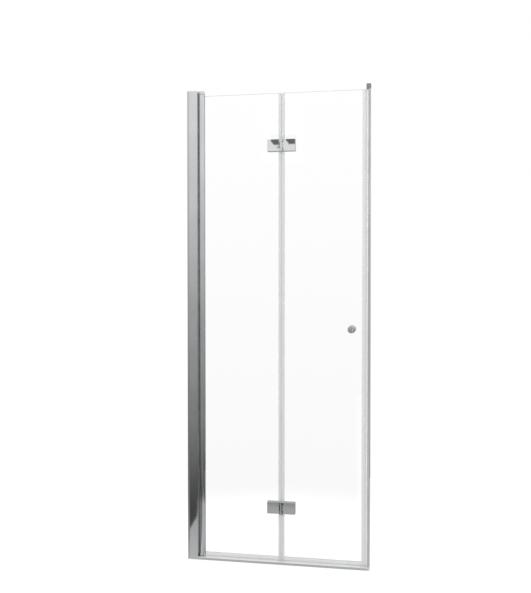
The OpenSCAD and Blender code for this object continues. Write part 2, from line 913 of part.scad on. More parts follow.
// Washers on both faces; the outer one carries a sleeve through the glass
module knob_washers() {
    washer_r = neck_d / 2 - bevel;
    color(rubber_c)
    for (s = [-1, 1])
        difference() {
            union() {
                rod_y(knob_x, s > 0 ? glass_y : -glass_y - pad_t, knob_z, washer_r, pad_t);
                if (s < 0) rod_y(knob_x, -glass_y - tiny, knob_z, pad_r, sleeve_len);
            }
            rod_y(knob_x, -glass_y - pad_t - cut, knob_z, stud_d / 2 + press,
                  glass_t + 2 * (pad_t + cut));
        }
}

wall_channel();
adjusting_profile();
clamp_screws();
clamp_caps();
pivot_seal();
top_bracket();
bottom_bracket();
bracket_screws();
top_pin();
bottom_pin();
threshold();
threshold_end();
strike_profile();
strike_seal();
strike_magnet();
strike_cap();
pivot_post();
top_bush();
bottom_bush();
post_gasket();
left_glass();
left_drip_seal();
left_fold_seal();
upper_outer_plate_left();
upper_inner_plate_left();
lower_outer_plate_left();
lower_inner_plate_left();
hinge_pads_left();
hinge_screws_left();
upper_hinge_pin();
lower_hinge_pin();
right_glass();
right_drip_seal();
right_fold_seal();
upper_outer_plate_right();
upper_inner_plate_right();
lower_outer_plate_right();
lower_inner_plate_right();
hinge_pads_right();
hinge_screws_right();
edge_profile();
edge_liner();
edge_seal();
edge_magnet();
outer_knob();
inner_knob();
knob_stud();
knob_washers();
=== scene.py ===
import bmesh
import bpy
import json
import math
from mathutils import Matrix, Vector


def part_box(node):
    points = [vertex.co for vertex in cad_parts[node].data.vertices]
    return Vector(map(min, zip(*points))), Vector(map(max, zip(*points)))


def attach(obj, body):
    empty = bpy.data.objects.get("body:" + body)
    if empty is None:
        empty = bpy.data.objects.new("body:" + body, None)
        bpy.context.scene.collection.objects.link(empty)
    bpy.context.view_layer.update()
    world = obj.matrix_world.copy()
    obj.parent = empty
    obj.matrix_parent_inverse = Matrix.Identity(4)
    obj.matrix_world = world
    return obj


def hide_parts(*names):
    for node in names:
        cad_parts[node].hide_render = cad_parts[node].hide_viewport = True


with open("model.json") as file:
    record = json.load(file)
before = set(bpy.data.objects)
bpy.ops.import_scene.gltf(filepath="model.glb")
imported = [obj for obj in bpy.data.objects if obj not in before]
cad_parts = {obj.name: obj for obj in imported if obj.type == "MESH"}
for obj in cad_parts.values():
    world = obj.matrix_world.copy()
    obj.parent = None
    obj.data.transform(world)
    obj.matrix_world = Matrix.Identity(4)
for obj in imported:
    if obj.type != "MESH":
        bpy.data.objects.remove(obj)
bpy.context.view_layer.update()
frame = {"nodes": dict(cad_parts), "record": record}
nodes = frame["nodes"]
bodyOf = {n: body for body, members in frame["record"]["behaviour"]["bodies"].items() for n in members}
slotOf = {s["node"]: s["material_slot"] for s in frame["record"]["subparts"]}
mm = 0.001
print("frame loaded:", len(nodes), "nodes")


# The camera stands where the photograph was taken from
cameraSetup = {
    "place": (0.5463, -3.2500, 1.2072),
    "turnedLeft": 10.43,      # degrees
    "lookingDown": 1.34,      # degrees
    "lens": 47.58,            # mm
    "sensor": 36,             # mm along its long side
}
cameraData = bpy.data.cameras.new("doorCamera")
cameraData.lens = cameraSetup["lens"]
cameraData.sensor_width = cameraSetup["sensor"]
camera = bpy.data.objects.new("doorCamera", cameraData)
bpy.context.scene.collection.objects.link(camera)
camera.location = cameraSetup["place"]
camera.rotation_euler = (
    math.radians(90 - cameraSetup["lookingDown"]), 0, math.radians(cameraSetup["turnedLeft"]))
bpy.context.scene.camera = camera
bpy.context.scene.view_settings.view_transform = "Standard"
print("camera placed")


def addNode(tree, kind, settings=None, links=None):
    # Keys that start in lower case are the node's own settings, the others are its sockets
    made = tree.nodes.new(kind)
    for key, value in (settings or {}).items():
        if isinstance(key, str) and key[0].islower():
            setattr(made, key, value)
        else:
            made.inputs[key].default_value = value
    for key, source in (links or {}).items():
        tree.links.new(source, made.inputs[key])
    return made


def linearHex(code, alpha=1.0):  # sRGB hex to linear light
    parts = [int(code[i:i + 2], 16) / 255 for i in (0, 2, 4)]
    return [p / 12.92 if p <= 0.04045 else ((p + 0.055) / 1.055) ** 2.4 for p in parts] + [alpha]


def newMaterial(name):
    made = bpy.data.materials.new(name)
    made.use_nodes = True
    made.node_tree.nodes.clear()
    return made, made.node_tree


def speckle(tree, size, detail=2.0, seed=0.0):
    # Noise on Object coordinates; size is one speckle's X, Y and Z in mm
    place = addNode(tree, "ShaderNodeTexCoord")
    scaled = addNode(tree, "ShaderNodeMapping",
                     {"vector_type": "POINT", "Location": (seed, seed, seed),
                      "Scale": [1 / (s * mm) for s in size]},
                     {"Vector": place.outputs["Object"]})
    return addNode(tree, "ShaderNodeTexNoise", {"Scale": 1.0, "Detail": detail, "Roughness": 0.5},
                   {"Vector": scaled.outputs["Vector"]}).outputs["Fac"]


def between(tree, source, low, high, fromLow=0.3, fromHigh=0.7):
    return addNode(tree, "ShaderNodeMapRange",
                   {"From Min": fromLow, "From Max": fromHigh, "To Min": low, "To Max": high},
                   {"Value": source}).outputs["Result"]


def tint(tree, source, low, high):  # between two sRGB hex colours
    return addNode(tree, "ShaderNodeMix", {"data_type": "RGBA", 6: linearHex(low), 7: linearHex(high)},
                   {0: between(tree, source, 0, 1)}).outputs[2]


def bumpOf(tree, source, height):  # height in mm
    return addNode(tree, "ShaderNodeBump", {"Strength": 1.0, "Distance": height * mm},
                   {"Height": source}).outputs["Normal"]


def finishShader(tree, settings, links):
    shader = addNode(tree, "ShaderNodeBsdfPrincipled", settings, links)
    addNode(tree, "ShaderNodeOutputMaterial", None, {"Surface": shader.outputs["BSDF"]})


def brightAluminium():
    # Extruded, polished and bright-anodised: mirror shine drawn out into faint upright die lines
    made, tree = newMaterial("brightAnodisedAluminium")
    dieLines = speckle(tree, (0.9, 0.9, 600))
    haze = speckle(tree, (60, 60, 140), detail=3, seed=3)
    finishShader(tree, {"Metallic": 1.0}, {
        "Base Color": tint(tree, haze, "D3D4D5", "DEDFE0"),
        "Roughness": between(tree, haze, 0.05, 0.10),
        "Normal": bumpOf(tree, dieLines, 0.0015)})
    return made


def chromePlate():
    # Cast, polished and chrome-plated: a clean mirror with the faintest orange peel
    made, tree = newMaterial("chromePlatedZinc")
    peel = speckle(tree, (14, 14, 14), detail=1)
    wiped = speckle(tree, (22, 22, 7), detail=3, seed=5)
    finishShader(tree, {"Metallic": 1.0}, {
        "Base Color": tint(tree, wiped, "D8D9DA", "DFE0E1"),
        "Roughness": between(tree, wiped, 0.012, 0.03),
        "Normal": bumpOf(tree, peel, 0.001)})
    return made


def satinAluminium():
    # Extruded, etched and anodised: a soft grey sheen that blurs what it mirrors
    made, tree = newMaterial("satinAnodisedAluminium")
    etch = speckle(tree, (0.35, 0.35, 0.35), detail=2)
    lines = speckle(tree, (1.2, 1.2, 400), seed=2)
    finishShader(tree, {"Metallic": 1.0}, {
        "Base Color": tint(tree, lines, "C6C7C8", "D2D3D4"),
        "Roughness": between(tree, lines, 0.30, 0.38),
        "Normal": bumpOf(tree, etch, 0.01)})
    return made


def palestAluminium():
    # Fine-blasted and silver-anodised threshold: its film scatters light, so it looks pale and even
    made, tree = newMaterial("blastedSilverAluminium")
    blast = speckle(tree, (0.4, 0.4, 0.4), detail=2, seed=11)
    drawn = speckle(tree, (420, 1.5, 1.5), seed=12)
    finishShader(tree, {"Metallic": 0.8}, {
        "Base Color": tint(tree, drawn, "F0F1F2", "F4F5F5"),
        "Roughness": between(tree, drawn, 0.28, 0.34),
        "Normal": bumpOf(tree, blast, 0.004)})
    return made


def turnedSteel():
    # Turned stainless steel: screws and pins, bright with fine rings
    made, tree = newMaterial("turnedStainlessSteel")
    rings = speckle(tree, (0.4, 0.4, 0.4), seed=1)
    finishShader(tree, {"Metallic": 1.0}, {
        "Base Color": tint(tree, rings, "A9AAAB", "BCBDBE"),
        "Roughness": between(tree, rings, 0.22, 0.32),
        "Normal": bumpOf(tree, rings, 0.004)})
    return made


def clearGlass():
    # Toughened float glass: what is behind shows clean, under a thin mirror that the roller wave bends
    made, tree = newMaterial("toughenedClearGlass")
    rollerWave = speckle(tree, (500, 500, 260), detail=0)
    wave = bumpOf(tree, rollerWave, 0.05)
    seeThrough = addNode(tree, "ShaderNodeBsdfTransparent", {"Color": (1, 1, 1, 1)})
    mirror = addNode(tree, "ShaderNodeBsdfGlossy", {"Color": (1, 1, 1, 1), "Roughness": 0.0},
                     {"Normal": wave})
    # With an index of 1.66 the front face alone mirrors as much as both faces of a real pane
    shine = addNode(tree, "ShaderNodeFresnel", {"IOR": 1.66}, {"Normal": wave})
    front = addNode(tree, "ShaderNodeMixShader", None,
                    {0: shine.outputs[0], 1: seeThrough.outputs[0], 2: mirror.outputs[0]})
    behind = addNode(tree, "ShaderNodeNewGeometry").outputs["Backfacing"]
    pane = addNode(tree, "ShaderNodeMixShader", None,
                   {0: behind, 1: front.outputs[0], 2: seeThrough.outputs[0]})
    addNode(tree, "ShaderNodeOutputMaterial", None, {"Surface": pane.outputs[0]})
    return made


def glassEdge():
    # The polished edge of the same glass: grey-green, because it is looked at along the pane
    made, tree = newMaterial("polishedGlassEdge")
    polish = speckle(tree, (3, 3, 3), seed=7)
    finishShader(tree, {"IOR": 1.5, "Transmission Weight": 0.35}, {
        "Base Color": tint(tree, polish, "A9B8B2", "BCC9C4"),
        "Roughness": between(tree, polish, 0.08, 0.16)})
    return made


def clearVinyl(name, low, high, line):
    # Soft clear PVC over a milky core, faintly lined along the strip; line is one streak's size
    made, tree = newMaterial(name)
    lines = speckle(tree, line, seed=4)
    finishShader(tree, {"IOR": 1.53, "Transmission Weight": 0.25, "Coat Weight": 0.2}, {
        "Base Color": tint(tree, lines, low, high),
        "Roughness": between(tree, lines, 0.2, 0.3),
        "Normal": bumpOf(tree, lines, 0.01)})
    return made


def milkyVinyl(name, low, high):
    # Rigid milky PVC: pale, dense and smooth
    made, tree = newMaterial(name)
    flow = speckle(tree, (1.0, 1.0, 250), seed=6)
    finishShader(tree, {"IOR": 1.53, "Coat Weight": 0.15}, {
        "Base Color": tint(tree, flow, low, high),
        "Roughness": between(tree, flow, 0.25, 0.34),
        "Normal": bumpOf(tree, flow, 0.01)})
    return made


def greyRubber():
    # Extruded grey EPDM, matte and paler where it has bloomed: dark only in the groove's shade
    made, tree = newMaterial("extrudedRubber")
    grain = speckle(tree, (0.5, 0.5, 1.5), detail=3)
    bloom = speckle(tree, (14, 14, 60), detail=3, seed=8)
    finishShader(tree, {"IOR": 1.5, "Specular IOR Level": 0.35}, {
        "Base Color": tint(tree, bloom, "7E8083", "939598"),
        "Roughness": between(tree, grain, 0.6, 0.78),
        "Normal": bumpOf(tree, grain, 0.015)})
    return made


def greyPlastic():
    # Moulded ABS with a fine spark texture: the caps
    made, tree = newMaterial("mouldedGreyAbs")
    spark = speckle(tree, (0.45, 0.45, 0.45), detail=2)
    finishShader(tree, {"IOR": 1.46}, {
        "Base Color": tint(tree, spark, "66686A", "747678"),
        "Roughness": between(tree, spark, 0.38, 0.5),
        "Normal": bumpOf(tree, spark, 0.02)})
    return made


def softPad():
    # Moulded clear-grey vinyl between metal and glass: dull and slightly translucent
    made, tree = newMaterial("greyVinylPad")
    grain = speckle(tree, (0.6, 0.6, 0.6), seed=9)
    finishShader(tree, {"IOR": 1.5, "Transmission Weight": 0.15}, {
        "Base Color": tint(tree, grain, "85888A", "96999B"),
        "Roughness": between(tree, grain, 0.45, 0.6)})
    return made


def nylon():
    # Moulded natural nylon: off-white and waxy
    made, tree = newMaterial("naturalNylon")
    wax = speckle(tree, (4, 4, 4), seed=10)
    finishShader(tree, {"IOR": 1.53, "Subsurface Weight": 0.1, "Subsurface Scale": 0.002,
                        "Subsurface Radius": (0.5, 0.45, 0.4)}, {
        "Base Color": tint(tree, wax, "DEDDD6", "E9E8E2"),
        "Roughness": between(tree, wax, 0.35, 0.5)})
    return made


def magnetStrip():
    # Rubber-bonded ferrite strip: dark brown and matte
    made, tree = newMaterial("bondedFerrite")
    dust = speckle(tree, (0.8, 0.8, 3), detail=3)
    finishShader(tree, {"IOR": 1.5}, {
        "Base Color": tint(tree, dust, "352C28", "463B35"),
        "Roughness": between(tree, dust, 0.6, 0.75)})
    return made


finishOf = {
    "chrome_profile": brightAluminium(),
    "chrome_fitting": chromePlate(),
    "satin_channel": satinAluminium(),
    "satin_threshold": palestAluminium(),
    "stainless": turnedSteel(),
    "clear_glass": clearGlass(),
    "clear_seal": clearVinyl("clearSoftPvc", "DCDDDE", "E6E7E8", (0.8, 0.8, 300)),
    "milky_pvc": milkyVinyl("milkyRigidPvc", "C4C5C6", "CDCECF"),
    "rubber": greyRubber(),
    "clear_pad": softPad(),
    "magnet": magnetStrip(),
    "nylon": nylon(),
    "cap": greyPlastic(),
}
# Finishes for parts of a slot: the panes' edges, the magnetic seal, the fold seals and the drip seals
ownFinish = {
    "paneEdge": glassEdge(),
    "magneticSeal": milkyVinyl("whiterRigidPvc", "EFF0F0", "F5F6F6"),
    "foldSeal": clearVinyl("duskySoftPvc", "CCCDCE", "D6D7D8", (0.8, 0.8, 300)),
    "dripSeal": clearVinyl("levelSoftPvc", "DCDDDE", "E6E7E8", (300, 0.8, 0.8)),
}
print("materials made:", len(finishOf) + len(ownFinish))

# Every carried-over node gets the finish of its slot first
for name, item in nodes.items():
    item.data.materials.clear()
    item.data.materials.append(finishOf[slotOf[name]])


def scratchObject(mesh):
    made = bpy.data.objects.new("scratch", mesh)
    bpy.context.scene.collection.objects.link(made)
    return made


def evaluated(piece):  # the piece's mesh with its modifiers worked in; the piece itself goes
    graph = bpy.context.evaluated_depsgraph_get()
    made = bpy.data.meshes.new_from_object(piece.evaluated_get(graph), depsgraph=graph)
    bpy.data.objects.remove(piece)
    return made


def cutFrom(mesh, cutter):  # what the cutter, a bmesh, leaves of the mesh
    cutMesh = bpy.data.meshes.new("cutter")
    cutter.to_mesh(cutMesh)
    cutter.free()
    scratch, tool = scratchObject(mesh), scratchObject(cutMesh)
    cutting = scratch.modifiers.new("cut", "BOOLEAN")
    cutting.operation = "DIFFERENCE"
    cutting.solver = "EXACT"
    cutting.object = tool
    made = evaluated(scratch)
    bpy.data.objects.remove(tool)
    return made


def newPiece(name, mesh, node):
    # One finished piece that stands for a CAD node, rides on its body and hides it
    made = bpy.data.objects.new(name, mesh)
    bpy.context.scene.collection.objects.link(made)
    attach(made, bodyOf[node])
    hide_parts(node)
    return made


def smoothBelow(mesh, degrees):
    mesh.polygons.foreach_set("use_smooth", [True] * len(mesh.polygons))
    mesh.set_sharp_from_angle(angle=math.radians(degrees))


def paint(mesh, material):
    mesh.materials.clear()
    mesh.materials.append(material)
    mesh.polygons.foreach_set("material_index", [0] * len(mesh.polygons))


# Width in mm of the small round along each piece's edges, as deburring and polishing leave it
brokenEdge = {
    "wall_channel": 0.25, "adjusting_profile": 0.3, "top_bracket": 0.8, "bottom_bracket": 0.8,
    "threshold": 0.3, "threshold_end": 0.8, "strike_profile": 0.3, "strike_cap": 0.9,
    "strike_seal": 0.4, "pivot_post": 0.25, "top_bush": 0.2, "bottom_bush": 0.2,
    "post_gasket": 0.2, "left_glass": 0.6, "right_glass": 0.6,
    "upper_outer_plate_left": 0.2, "upper_inner_plate_left": 0.2,
    "lower_outer_plate_left": 0.2, "lower_inner_plate_left": 0.2,
    "upper_outer_plate_right": 0.2, "upper_inner_plate_right": 0.2,
    "lower_outer_plate_right": 0.2, "lower_inner_plate_right": 0.2,
    "hinge_pads_left": 0.2, "hinge_pads_right": 0.2, "knob_washers": 0.2,
    "upper_hinge_pin": 0.4, "lower_hinge_pin": 0.4, "top_pin": 0.4, "bottom_pin": 0.4,
    "edge_profile": 0.3, "edge_liner": 0.2, "edge_seal": 0.4,
}


rounding = {
    "flatWithin": 0.5,        # degrees between triangles that merge into one face
    "smoothWithin": 25,       # degrees between faces that are shaded as one
    "sharpBeyond": 35,        # degrees between faces whose edge is rounded
    "segments": 2,
}


def softened(node, width):
    # A copy of a CAD piece with its loose triangles merged and its edges rounded
    shape = bmesh.new()
    shape.from_mesh(nodes[node].data)
    bmesh.ops.remove_doubles(shape, verts=shape.verts, dist=1e-6)
    bmesh.ops.dissolve_limit(shape, angle_limit=math.radians(rounding["flatWithin"]),
                             verts=shape.verts, edges=shape.edges)
    mesh = bpy.data.meshes.new(node + "Finished")
    shape.to_mesh(mesh)
    shape.free()
    paint(mesh, finishOf[slotOf[node]])
    smoothBelow(mesh, rounding["smoothWithin"])
    scratch = scratchObject(mesh)
    bevel = scratch.modifiers.new("edges", "BEVEL")
    bevel.width = width * mm
    bevel.segments = rounding["segments"]
    bevel.limit_method = "ANGLE"
    bevel.angle_limit = math.radians(rounding["sharpBeyond"])
    bevel.use_clamp_overlap = False
    shading = scratch.modifiers.new("flatFaces", "WEIGHTED_NORMAL")
    shading.weight = 100
    shading.keep_sharp = True
    made = newPiece(node + "Finished", evaluated(scratch), node)
    made.data.name = node + "Finished"
    return made


finished = {node: softened(node, width) for node, width in brokenEdge.items()}
for node in ("left_glass", "right_glass"):
    pane = finished[node].data
    pane.materials.append(ownFinish["paneEdge"])
    for face in pane.polygons:
        face.material_index = 0 if abs(face.normal.y) > 0.9 else 1
paint(finished["edge_seal"].data, ownFinish["magneticSeal"])
print("edges rounded:", len(finished), "pieces")


def geometryTree(name, sockets):  # a tree with its named inputs, each with its kind of socket
    tree = bpy.data.node_groups.new(name, "GeometryNodeTree")
    for label, kind in sockets.items():
        tree.interface.new_socket(label, in_out="INPUT", socket_type="NodeSocket" + kind)
    tree.interface.new_socket("Shape", in_out="OUTPUT", socket_type="NodeSocketGeometry")
    return tree, addNode(tree, "NodeGroupInput")


def finishGeometry(tree, given, source):
    plain = addNode(tree, "GeometryNodeRealizeInstances", None, {"Geometry": source})
    finish = addNode(tree, "GeometryNodeSetMaterial", None,
                     {"Geometry": plain.outputs[0], "Material": given.outputs["Finish"]})
    addNode(tree, "NodeGroupOutput", None, {0: finish.outputs[0]})


# Seals are drawn out from their section by one Geometry Nodes tree
def stripTree():
    tree, given = geometryTree("drawnStrip", {
        "Section": "Geometry", "Length": "Float", "Direction": "Vector", "Finish": "Material"})
    drawn = addNode(tree, "GeometryNodeExtrudeMesh", {"mode": "FACES", "Individual": False},
                    {"Mesh": given.outputs["Section"], "Offset": given.outputs["Direction"],
                     "Offset Scale": given.outputs["Length"]})
    foot = addNode(tree, "GeometryNodeFlipFaces", None, {"Mesh": given.outputs["Section"]})
    joined = addNode(tree, "GeometryNodeJoinGeometry")
    tree.links.new(foot.outputs["Mesh"], joined.inputs[0])
    tree.links.new(drawn.outputs["Mesh"], joined.inputs[0])
    closed = addNode(tree, "GeometryNodeMergeByDistance", {"Distance": 1e-6},
                     {"Geometry": joined.outputs[0]})
    finishGeometry(tree, given, closed.outputs[0])
    return tree


def setInput(modifier, label, value):
    for socket in modifier.node_group.interface.items_tree:
        if socket.name == label and socket.in_out == "INPUT":
            modifier[socket.identifier] = value


def roundedOutline(points, radius, steps=3, mostOfSide=0.42):
    # Each corner of a closed outline becomes a small arc, no larger than its sides allow
    made = []
    for index, here in enumerate(points):
        toBefore, toAfter = points[index - 1] - here, points[(index + 1) % len(points)] - here
        reach = min(radius, mostOfSide * toBefore.length, mostOfSide * toAfter.length)
        start, end = here + toBefore.normalized() * reach, here + toAfter.normalized() * reach
        for step in range(steps + 1):
            t = step / steps
            made.append((1 - t) ** 2 * start + 2 * t * (1 - t) * here + t ** 2 * end)
    area = sum(a.x * b.y - b.x * a.y for a, b in zip(made, made[1:] + made[:1]))
    return made if area > 0 else made[::-1]


def drawnSeal(node, outline, direction, radius):
    # The section stands at the node's lower end; direction is X for the drip seals and Z for the rest
    low, high = (Vector(v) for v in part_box(node))
    axis = 0 if direction == "X" else 2
    flat = roundedOutline([Vector(p) for p in outline], radius)
    corners = [(low.x, p.x * mm, p.y * mm) if axis == 0 else (p.x * mm, p.y * mm, low.z) for p in flat]
    mesh = bpy.data.meshes.new(node + "Section")
    mesh.from_pydata(corners, [], [list(range(len(corners)))])
    scratch = scratchObject(mesh)
    drawing = scratch.modifiers.new("drawnStrip", "NODES")
    drawing.node_group = stripOf
    setInput(drawing, "Length", high[axis] - low[axis])
    setInput(drawing, "Direction", (1, 0, 0) if axis == 0 else (0, 0, 1))
    setInput(drawing, "Finish", finishOf[slotOf[node]])
    made = evaluated(scratch)
    made.name = node + "Drawn"
    smoothBelow(made, 40)
    return made


stripOf = stripTree()
# Places and sizes in mm, the same as in the CAD
stations = {
    "postX": -328.0,          # the post's axis
    "profileX": -345.5,       # closed side of the adjusting profile
    "foldX": 16.5,            # the fold axis
    "hingeHeights": (238, 1762),
    "glassHalf": 3.0,         # half the glass's thickness
    "glassFoot": 24.0,        # the glass's lower edge
}
dripSeal = {
    "leg": 4.6, "top": 29.0, "foot": 14.4, "web": 22.4, "wall": 1.6,
    "finReach": 9.6, "finFoot": 14.8, "finTip": 1.0,
    "edge": 0.35,
}
foldSeal = {
    "start": 0.4, "lip": 0.8, "glassEdge": 4.0, "web": 3.2, "leg": 4.6, "half": 12.2, "wall": 1.6,
    "notchFrom": 8.45, "notchPast": 2.0, "notchDepth": 14.0, "notchHalf": 25.3,
    "edge": 0.6,
}
pivotSeal = {
    "foot": 2.8, "footDepth": 1.8, "neck": 1.9, "padFrom": 3.1, "padTo": 5.3, "padHalf": 9.0,
    "postClear": 12.8, "bowlSteps": 8,
    "edge": 0.3,
}


def dripOutline():
    d, g, foot = dripSeal, stations["glassHalf"], stations["glassFoot"]
    return [(-d["leg"], d["foot"]), (-d["leg"], d["top"]), (-g, d["top"]), (-g, foot), (g, foot),
            (g, d["top"]), (d["leg"], d["top"]), (d["leg"], d["web"]), (d["finReach"], d["finFoot"]),
            (d["finReach"] - d["finTip"], d["finFoot"]), (0, d["web"]), (d["wall"] - d["leg"], d["web"]),
            (d["wall"] - d["leg"], d["foot"])]


def foldOutline(side):
    f, g = foldSeal, stations["glassHalf"]
    half = [(f["glassEdge"], g), (f["half"], g), (f["half"], g + f["lip"] / 2),
            (f["half"] - f["wall"], f["leg"]), (f["start"], f["leg"]),
            (f["start"], f["leg"] - f["lip"]), (f["web"], f["leg"] - f["wall"])]
    whole = half + [(x, -y) for x, y in reversed(half)]
    return [(stations["foldX"] + side * x, y) for x, y in whole]


def pivotOutline():
    p, x0 = pivotSeal, stations["profileX"]
    centre = stations["postX"] - x0
    swing = math.acos((centre - p["padTo"]) / p["postClear"])
    angles = (swing * (2 * i / p["bowlSteps"] - 1) for i in range(p["bowlSteps"] + 1))
    bowl = [(centre - p["postClear"] * math.cos(a), p["postClear"] * math.sin(a)) for a in angles]
    outline = [(0, -p["foot"]), (p["footDepth"], -p["foot"]), (p["footDepth"], -p["neck"]),
               (p["padFrom"], -p["neck"]), (p["padFrom"], -p["padHalf"]), (p["padTo"], -p["padHalf"])]
    outline += bowl + [(x, -y) for x, y in reversed(outline)]
    return [(x0 + x, y) for x, y in outline]


def notched(mesh, side):
    # The legs of a fold seal stop at the hinge plates
    cutter = bmesh.new()
    f = foldSeal
    for height in stations["hingeHeights"]:
        made = bmesh.ops.create_cube(cutter, size=1)["verts"]
        inner, outer = f["notchFrom"], f["half"] + f["notchPast"]
        size = ((outer - inner) * mm, f["notchDepth"] * mm, 2 * f["notchHalf"] * mm)
        middle = ((stations["foldX"] + side * (inner + outer) / 2) * mm, 0, height * mm)
        for vert in made:
            vert.co = [c * s + m for c, s, m in zip(vert.co, size, middle)]
    return cutFrom(mesh, cutter)


for side, leaf in ((-1, "left"), (1, "right")):
    dripMesh = drawnSeal(leaf + "_drip_seal", dripOutline(), "X", dripSeal["edge"])
    paint(dripMesh, ownFinish["dripSeal"])
    newPiece(leaf + "DripSealStrip", dripMesh, leaf + "_drip_seal")
    foldMesh = notched(drawnSeal(leaf + "_fold_seal", foldOutline(side), "Z", foldSeal["edge"]), side)
    paint(foldMesh, ownFinish["foldSeal"])
    newPiece(leaf + "FoldSealStrip", foldMesh, leaf + "_fold_seal")
newPiece("pivotSealStrip", drawnSeal("pivot_seal", pivotOutline(), "Z", pivotSeal["edge"]), "pivot_seal")
print("seals drawn")


# Screws and caps: one turned shape, repeated by Geometry Nodes and turned at random about its axis
def turned(name, outline, sides=48):
    # The outline is radius and Y in mm; a radius of 0 is a pole
    shape = bmesh.new()
    rings = []
    for radius, y in outline:
        if radius == 0:
            rings.append([shape.verts.new((0, y * mm, 0))])
            continue
        angles = (math.tau * i / sides for i in range(sides))
        rings.append([shape.verts.new((radius * mm * math.cos(a), y * mm, radius * mm * math.sin(a)))
                      for a in angles])
    for first, second in zip(rings, rings[1:]):
        for i in range(sides):
            j = (i + 1) % sides
            if len(first) == 1:
                shape.faces.new((first[0], second[j], second[i]))
            elif len(second) == 1:
                shape.faces.new((first[i], first[j], second[0]))
            else:
                shape.faces.new((first[i], first[j], second[j], second[i]))
    bmesh.ops.recalc_face_normals(shape, faces=shape.faces)
    mesh = bpy.data.meshes.new(name)
    shape.to_mesh(mesh)
    shape.free()
    smoothBelow(mesh, 35)
    return mesh


def crossCut(mesh, face, size, depth):
    # A cross recess with tapered walls, cut into the face at Y = face
    arm = size / 4
    for wide, high in ((size, arm), (arm, size)):
        cutter = bmesh.new()
        for vert in bmesh.ops.create_cube(cutter, size=1)["verts"]:
            inside = vert.co.y < 0
            taper = 0.62 if inside else 1.0
            vert.co = (vert.co.x * wide * taper * mm, (face - depth if inside else face + 1) * mm,
                       vert.co.z * high * taper * mm)
        mesh = cutFrom(mesh, cutter)
    smoothBelow(mesh, 30)
    return mesh


def rowTree():
    tree, given = geometryTree("screwRow", {
        "Places": "Geometry", "Fastener": "Object", "Most Turn": "Float", "Seed": "Int",
        "Finish": "Material"})
    one = addNode(tree, "GeometryNodeObjectInfo", {"transform_space": "ORIGINAL"},
                  {"Object": given.outputs["Fastener"]})
    turn = addNode(tree, "FunctionNodeRandomValue", {"data_type": "FLOAT"},
                   {3: given.outputs["Most Turn"], "Seed": given.outputs["Seed"]})
    about = addNode(tree, "ShaderNodeCombineXYZ", None, {"Y": turn.outputs[1]})
    placed = addNode(tree, "GeometryNodeInstanceOnPoints", None,
                     {"Points": given.outputs["Places"], "Instance": one.outputs["Geometry"],
                      "Rotation": about.outputs[0]})
    finishGeometry(tree, given, placed.outputs[0])
    return tree


rowOf = rowTree()
fasteners = {
    "panShank": 1.98, "panHead": 3.5, "panHigh": 1.8, "clampLength": 8.0, "bracketLength": 11.0,
    "flatShank": 2.48, "flatHead": 4.98, "flatLength": 18.5, "recess": 1.5,
    "capRadius": 5.5, "capHigh": 3.0, "capWall": 0.9,
    "clampHeights": (250, 1000, 1750), "hingePitch": 26.0,
    "mostTurn": math.tau, "seed": 4,
}


def panScrew(length):
    f = fasteners
    outline = [(0, -length), (f["panShank"] - 0.5, -length), (f["panShank"], 0.5 - length),
               (f["panShank"], 0), (f["panHead"] - 0.1, 0), (f["panHead"], 0.15),
               (f["panHead"] - 0.05, 0.8), (f["panHead"] - 0.35, 1.35), (f["panHead"] - 1.0, 1.68),
               (f["panHead"] / 3, f["panHigh"]), (0, f["panHigh"])]
    return crossCut(turned("panScrew", outline), f["panHigh"], f["panHead"], f["panHigh"] / 2)


def flatScrew():
    f = fasteners
    deep = f["flatHead"] - f["flatShank"]
    outline = [(0, -f["flatLength"]), (f["flatShank"] - 0.6, -f["flatLength"]),
               (f["flatShank"], 0.6 - f["flatLength"]), (f["flatShank"], -deep),
               (f["flatHead"] - 0.12, -0.12), (f["flatHead"] - 0.2, 0), (0, 0)]
    return crossCut(turned("flatScrew", outline), 0, f["flatHead"], f["recess"])


def snapCap():
    f = fasteners
    r, h, w = f["capRadius"], f["capHigh"], f["capWall"]
    outline = [(0, h - w), (r - w - 0.4, h - w), (r - w, h - w - 0.4), (r - w, 0), (r - 0.1, 0), (r, 0.1),
               (r, h - 1.1), (r - 0.35, h - 0.45), (r - 1.1, h - 0.12), (r / 2, h), (0, h)]
    return turned("snapCap", outline)


def fastenerRow(node, fastener, places):
    mesh = bpy.data.meshes.new(node + "Places")
    mesh.from_pydata(places, [], [])
    scratch, one = scratchObject(mesh), scratchObject(fastener)
    row = scratch.modifiers.new("screwRow", "NODES")
    row.node_group = rowOf
    setInput(row, "Fastener", one)
    setInput(row, "Most Turn", fasteners["mostTurn"])
    setInput(row, "Seed", fasteners["seed"])
    setInput(row, "Finish", finishOf[slotOf[node]])
    made = evaluated(scratch)
    made.name = node + "Row"
    bpy.data.objects.remove(one)
    smoothBelow(made, 30)
    newPiece(node + "Row", made, node)


def placesAlong(node, heights, face):
    low, high = (Vector(v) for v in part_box(node))
    return [((low.x + high.x) / 2, face * mm, z * mm) for z in heights]


